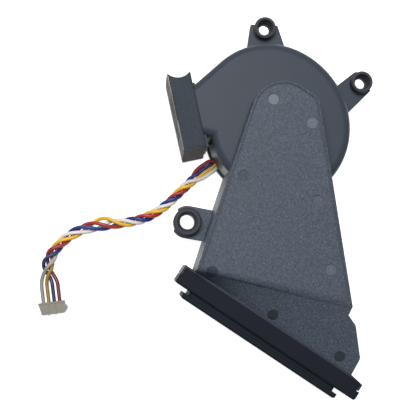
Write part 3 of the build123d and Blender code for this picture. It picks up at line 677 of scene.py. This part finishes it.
looks = {
    "ductPlastic": {
        "colour": (71, 80, 92),
        "grainScale": 1500.0,
        "grainContrast": 2.2,
        "patches": 0.16,
        "edgeWidth": 0.0004,
        "paintedEdgeShare": 0.10,
        "paintedEdgeColour": (92, 98, 105),
        "roughness": 0.46,
        "roughSwing": 0.2,
        "bumpStrength": 0.6,
        "bumpDepth": 0.00012,
        "speckScale": 860.0,
        "speckSize": 0.34,
        "speckShare": 0.42,
        "speckColour": (128, 134, 141),
        "pinLift": 1.0,
        "pinLight": (112, 120, 129),
        "pinSink": 1.0,
        "pinDark": (28, 32, 40),
        # painted shade on the collar, towards the mouth
        "collarShadeStart": 0.0583,
        "collarShadeSpan": 0.0004,
        "collarShadeShare": 0.75,
        "collarShadeColour": (32, 36, 44),
        "specular": 0.18,
    },
    "housingPlastic": {
        "colour": (63, 70, 80),
        "grainScale": 4200.0,
        "grainContrast": 0.2,
        "patches": 0.12,
        "edgeWidth": 0.0004,
        "paintedEdgeShare": 0.25,
        "paintedEdgeColour": (88, 94, 101),
        "roughness": 0.36,
        "roughSwing": 0.12,
        "bumpStrength": 0.2,
        "bumpDepth": 0.00006,
        "specular": 0.10,
    },
    "sealRubber": {
        "colour": (29, 32, 41),
        "grainScale": 1800.0,
        "grainContrast": 0.3,
        "patches": 0.4,
        "edgeWidth": 0.0003,
        "paintedEdgeShare": 0.15,
        "paintedEdgeColour": (52, 56, 62),
        "roughness": 0.55,
        "roughSwing": 0.2,
        "bumpStrength": 0.2,
        "bumpDepth": 0.00008,
        "specular": 0.06,
    },
    "grommetRubber": {
        "colour": (56, 59, 65),
        "grainScale": 2400.0,
        "grainContrast": 0.3,
        "patches": 0.3,
        "edgeWidth": 0.0002,
        "paintedEdgeShare": 0.2,
        "paintedEdgeColour": (44, 47, 52),
        "roughness": 0.6,
        "roughSwing": 0.16,
        "bumpStrength": 0.15,
        "bumpDepth": 0.00005,
        "specular": 0.22,
    },
    "plugNylon": {
        "colour": (128, 124, 114),
        "grainScale": 900.0,
        "grainContrast": 0.12,
        "patches": 0.2,
        "edgeWidth": 0.0002,
        "paintedEdgeShare": 0.5,
        "paintedEdgeColour": (236, 231, 220),
        "roughness": 0.42,
        "roughSwing": 0.2,
        "bumpStrength": 0.15,
        "bumpDepth": 0.00006,
    },
    "brightSteel": {
        "colour": (190, 192, 196),
        "grainScale": 3000.0,
        "grainContrast": 0.2,
        "patches": 0.2,
        "edgeWidth": 0.0002,
        "paintedEdgeShare": 0.3,
        "paintedEdgeColour": (220, 222, 225),
        "roughness": 0.30,
        "roughSwing": 0.2,
        "bumpStrength": 0.1,
        "bumpDepth": 0.00003,
        "metallic": 1.0,
    },
    "darkSteel": {
        "colour": (120, 122, 126),
        "grainScale": 2200.0,
        "grainContrast": 0.5,
        "patches": 0.3,
        "edgeWidth": 0.0002,
        "paintedEdgeShare": 0.3,
        "paintedEdgeColour": (170, 172, 176),
        "roughness": 0.45,
        "roughSwing": 0.2,
        "bumpStrength": 0.2,
        "bumpDepth": 0.00005,
        "metallic": 0.9,
    },
    "turnedBrass": {
        "colour": (196, 164, 96),
        "grainScale": 2600.0,
        "grainContrast": 0.25,
        "patches": 0.2,
        "edgeWidth": 0.0002,
        "paintedEdgeShare": 0.3,
        "paintedEdgeColour": (230, 205, 140),
        "roughness": 0.32,
        "roughSwing": 0.2,
        "bumpStrength": 0.1,
        "bumpDepth": 0.00003,
        "metallic": 1.0,
    },
    "copperWire": {
        "colour": (176, 98, 52),
        "grainScale": 1500.0,
        "grainContrast": 0.6,
        "patches": 0.2,
        "edgeWidth": 0.0002,
        "paintedEdgeShare": 0.2,
        "paintedEdgeColour": (214, 142, 88),
        "roughness": 0.36,
        "roughSwing": 0.2,
        "bumpStrength": 0.5,
        "bumpDepth": 0.0001,
        "metallic": 0.6,
    },
    "ferriteMagnet": {
        "colour": (52, 52, 55),
        "grainScale": 3200.0,
        "grainContrast": 0.4,
        "patches": 0.3,
        "edgeWidth": 0.0002,
        "paintedEdgeShare": 0.2,
        "paintedEdgeColour": (90, 90, 92),
        "roughness": 0.65,
        "roughSwing": 0.2,
        "bumpStrength": 0.3,
        "bumpDepth": 0.00006,
    },
    "whiteNylon": {
        "colour": (214, 211, 200),
        "grainScale": 2400.0,
        "grainContrast": 0.15,
        "patches": 0.15,
        "edgeWidth": 0.0002,
        "paintedEdgeShare": 0.2,
        "paintedEdgeColour": (232, 230, 222),
        "roughness": 0.5,
        "roughSwing": 0.15,
        "bumpStrength": 0.15,
        "bumpDepth": 0.00005,
    },
    "boardGreen": {
        "colour": (26, 92, 52),
        "grainScale": 1600.0,
        "grainContrast": 0.25,
        "patches": 0.3,
        "edgeWidth": 0.0001,
        "paintedEdgeShare": 0.4,
        "paintedEdgeColour": (150, 160, 110),
        "roughness": 0.35,
        "roughSwing": 0.15,
        "bumpStrength": 0.15,
        "bumpDepth": 0.00004,
    },
    "chipBlack": {
        "colour": (38, 38, 40),
        "grainScale": 4200.0,
        "grainContrast": 0.3,
        "patches": 0.2,
        "edgeWidth": 0.0001,
        "paintedEdgeShare": 0.2,
        "paintedEdgeColour": (80, 80, 82),
        "roughness": 0.55,
        "roughSwing": 0.15,
        "bumpStrength": 0.2,
        "bumpDepth": 0.00004,
    },
    "fanNylon": {
        "colour": (50, 52, 56),
        "grainScale": 2800.0,
        "grainContrast": 0.3,
        "patches": 0.3,
        "edgeWidth": 0.0003,
        "paintedEdgeShare": 0.25,
        "paintedEdgeColour": (84, 86, 90),
        "roughness": 0.44,
        "roughSwing": 0.2,
        "bumpStrength": 0.25,
        "bumpDepth": 0.00006,
    },
    "foamFace": {
        "colour": (66, 73, 81),
        "grainScale": 1700.0,
        "grainContrast": 0.8,
        "patches": 0.5,
        "edgeWidth": 0.0007,
        "paintedEdgeShare": 0.7,
        "paintedEdgeColour": (34, 38, 44),
        "roughness": 0.85,
        "roughSwing": 0.2,
        "bumpStrength": 0.7,
        "bumpDepth": 0.0002,
        "specular": 0.12,
    },
    "foamCut": {
        "colour": (214, 216, 216),
        "grainScale": 900.0,
        "grainContrast": 1.2,
        "patches": 0.8,
        "edgeWidth": 0.0003,
        "paintedEdgeShare": 0.3,
        "paintedEdgeColour": (60, 62, 64),
        "roughness": 0.85,
        "roughSwing": 0.2,
        "bumpStrength": 0.7,
        "bumpDepth": 0.0003,
        "specular": 0.2,
    },
    "facingCloth": {
        "colour": (228, 229, 228),
        "grainScale": 2600.0,
        "grainContrast": 0.9,
        "patches": 0.6,
        "edgeWidth": 0.0002,
        "paintedEdgeShare": 0.1,
        "paintedEdgeColour": (190, 190, 188),
        "roughness": 0.85,
        "roughSwing": 0.2,
        "bumpStrength": 0.6,
        "bumpDepth": 0.00015,
        "specular": 0.2,
        "threads": 56.0,
        "threadShare": 0.36,
    },
    "foamSkin": {
        "colour": (244, 244, 242),
        "grainScale": 1700.0,
        "grainContrast": 0.5,
        "patches": 0.8,
        "edgeWidth": 0.0003,
        "paintedEdgeShare": 0.1,
        "paintedEdgeColour": (200, 200, 198),
        "roughness": 0.8,
        "roughSwing": 0.2,
        "bumpStrength": 0.6,
        "bumpDepth": 0.0002,
        "specular": 0.2,
    },
}
materials = {name: makeFinish(name, look) for name, look in looks.items()}


wireLook = {
    "grain": {"Scale": 1500.0, "Contrast": 0.15, "Patches": 0.35},
    "roughSwing": 0.2,
    "roughness": 0.30,
    "bumpStrength": 0.1,
    "bumpDepth": 0.00005,
}


def makeWireMaterial(name, colour):
    material, tree, shader = startMaterial(name)
    grained = placeGroup(tree, grainGroup, Colour=paint(*colour), **wireLook["grain"])
    # Painted shade: the wires grow darker towards the plug end
    part = placeGroup(tree, mouthGroup, Start=lead["plugShadeStart"], Span=lead["plugShadeSpan"])
    amount = addMath(tree, "MULTIPLY", part.outputs["Share"], lead["plugShadeShare"])
    shadedColour = paint(*(value * lead["plugShadeLevel"] for value in colour))
    shade = addMix(tree, "MIX", amount, grained.outputs["Colour"], shadedColour)
    tree.links.new(shade, shader.inputs["Base Color"])
    swing = addMath(tree, "MULTIPLY", grained.outputs["Height"], wireLook["roughSwing"])
    rough = addMath(tree, "ADD", swing, wireLook["roughness"])
    tree.links.new(rough, shader.inputs["Roughness"])
    bump = tree.nodes.new("ShaderNodeBump")
    bump.inputs["Strength"].default_value = wireLook["bumpStrength"]
    bump.inputs["Distance"].default_value = wireLook["bumpDepth"]
    tree.links.new(grained.outputs["Height"], bump.inputs["Height"])
    tree.links.new(bump.outputs["Normal"], shader.inputs["Normal"])
    return material


wireMaterials = {name: makeWireMaterial(name, colour) for name, colour in lead["colours"].items()}

nodeFinish = {
    "base_shell": "housingPlastic",
    "scroll_shell": "housingPlastic",
    "duct_shell": "ductPlastic",
    "mouth_seal": "sealRubber",
    "grommet_upper": "grommetRubber",
    "grommet_right": "grommetRubber",
    "grommet_left": "grommetRubber",
    "housing_screws": "brightSteel",
    "motor_plate": "brightSteel",
    "motor_board": "boardGreen",
    "board_parts": "chipBlack",
    "bearing_holder": "turnedBrass",
    "bearing_lower": "brightSteel",
    "bearing_upper": "brightSteel",
    "bearing_inner_races": "brightSteel",
    "stator_core": "darkSteel",
    "insulator_lower": "whiteNylon",
    "insulator_upper": "whiteNylon",
    "windings": "copperWire",
    "rotor_yoke": "brightSteel",
    "magnet_ring": "ferriteMagnet",
    "spacer_washer": "brightSteel",
    "shaft": "brightSteel",
    "retaining_clip": "darkSteel",
    "impeller": "fanNylon",
    "impeller_shroud": "fanNylon",
    "plug_housing": "plugNylon",
    "plug_contacts": "brightSteel",
}
for node, finish in nodeFinish.items():
    cadNodes[node].data.materials.clear()
    cadNodes[node].data.materials.append(materials[finish])
print("materials made:", len(materials) + len(wireMaterials))

makeLeadPiece(wireMaterials)


# Foam block on the outlet: die cut, a little soft at its edges, pale on the side that seals

def outletDirections(angle):
    outwards = Matrix.Rotation(math.radians(angle), 3, "Z") @ Vector((1, 0, 0))
    return outwards, Vector((-outwards.y, outwards.x, 0))


foam = {
    "outAngle": -134,
    "mergeReach": 1e-6,
    "flatAngle": 1,
    "edgeRound": 0.00035,
    "edgeSegments": 2,
    "sharpAngle": 25,
    "voxel": 0.00042,
    "wave": 0.00010,
    "waveScale": 170,
    "cells": 0.00005,
    "cellScale": 1500,
    "skinFacing": 0.8,
}


def makeFoam():
    bm = bmesh.new()
    bm.from_mesh(cadNodes["outlet_seal"].data)
    bmesh.ops.remove_doubles(bm, verts=bm.verts, dist=foam["mergeReach"])
    flat = math.radians(foam["flatAngle"])
    bmesh.ops.dissolve_limit(bm, angle_limit=flat, verts=bm.verts, edges=bm.edges)
    sharpest = math.radians(foam["sharpAngle"])
    sharp = [edge for edge in bm.edges if edge.calc_face_angle(0) > sharpest]
    bmesh.ops.bevel(
        bm,
        geom=sharp,
        offset=foam["edgeRound"],
        offset_type="OFFSET",
        segments=foam["edgeSegments"],
        profile=0.5,
        affect="EDGES",
        material=-1,
        clamp_overlap=True,
    )
    rough = bpy.data.meshes.new("foamRough")
    bm.to_mesh(rough)
    bm.free()
    carrier = linkNew("foamRough", rough)
    remesh = carrier.modifiers.new("remesh", "REMESH")
    remesh.mode = "VOXEL"
    remesh.voxel_size = foam["voxel"]
    graph = bpy.context.evaluated_depsgraph_get()
    mesh = bpy.data.meshes.new_from_object(carrier.evaluated_get(graph))
    bpy.data.objects.remove(carrier)
    mesh.name = "foamBlock"
    mesh.materials.clear()
    for finish in ("foamFace", "foamSkin", "foamCut"):
        mesh.materials.append(materials[finish])
    bm = bmesh.new()
    bm.from_mesh(mesh)
    bm.normal_update()
    for vert in bm.verts:
        wave = foam["wave"] * noise.noise(vert.co * foam["waveScale"])
        cells = foam["cells"] * noise.noise(vert.co * foam["cellScale"])
        vert.co += vert.normal * (wave + cells - foam["wave"] / 2)
    outwards, endwards = outletDirections(foam["outAngle"])
    bm.normal_update()
    for face in bm.faces:
        face.smooth = True
        if face.normal.dot(outwards) > foam["skinFacing"]:
            face.material_index = 1
        if face.normal.dot(endwards) > foam["skinFacing"]:
            face.material_index = 2
    bm.to_mesh(mesh)
    bm.free()
    piece = linkNew("foamBlock", mesh)
    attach(piece, "housing")
    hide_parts("outlet_seal")
    print("foam block made, faces:", len(mesh.polygons))


makeFoam()


# Facing cloth over the foam's outer side, which the photo shows pale and unbroken: a guess

facing = {
    "outAngle": -134,
    "out": 0.03415,
    "low": 0.0012,
    "high": 0.0264,
    "start": -0.0260,
    "endLow": 0.00345,
    "endHigh": 0.00165,
    "columns": 58,
    "rows": 50,
    "wave": 0.00006,
    "waveScale": 260,
    "flat": (0.0295, 0.0252),
    "area": 0.00072,
}


def makeFacing():
    outwards, endwards = outletDirections(facing["outAngle"])
    bm = bmesh.new()
    grid = []
    for row in range(facing["rows"] + 1):
        share = row / facing["rows"]
        height = facing["low"] + (facing["high"] - facing["low"]) * share
        end = facing["endLow"] + (facing["endHigh"] - facing["endLow"]) * share
        line = []
        for column in range(facing["columns"] + 1):
            along = facing["start"] + (end - facing["start"]) * column / facing["columns"]
            place = outwards * facing["out"] + endwards * along + Vector((0, 0, height))
            place += outwards * facing["wave"] * noise.noise(place * facing["waveScale"])
            line.append(bm.verts.new(place))
        grid.append(line)
    for low, high in zip(grid, grid[1:]):
        for column in range(facing["columns"]):
            face = bm.faces.new((low[column], high[column], high[column + 1], low[column + 1]))
            face.smooth = True
    layer = bm.loops.layers.uv.new("UVMap")
    for face in bm.faces:
        for loop in face.loops:
            across = (loop.vert.co.dot(endwards) - facing["start"]) / facing["flat"][0]
            up = (loop.vert.co.z - facing["low"]) / facing["flat"][0]
            loop[layer].uv = (across, up)
    bm.normal_update()
    bm.faces.ensure_lookup_table()
    if bm.faces[0].normal.dot(outwards) < 0:
        bmesh.ops.reverse_faces(bm, faces=bm.faces)
    mesh = bpy.data.meshes.new("outletFacing")
    bm.to_mesh(mesh)
    bm.free()
    mesh.materials.append(materials["facingCloth"])
    piece = linkNew("outletFacing", mesh)
    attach(piece, "housing")
    print("facing made, faces:", len(mesh.polygons))


makeFacing()
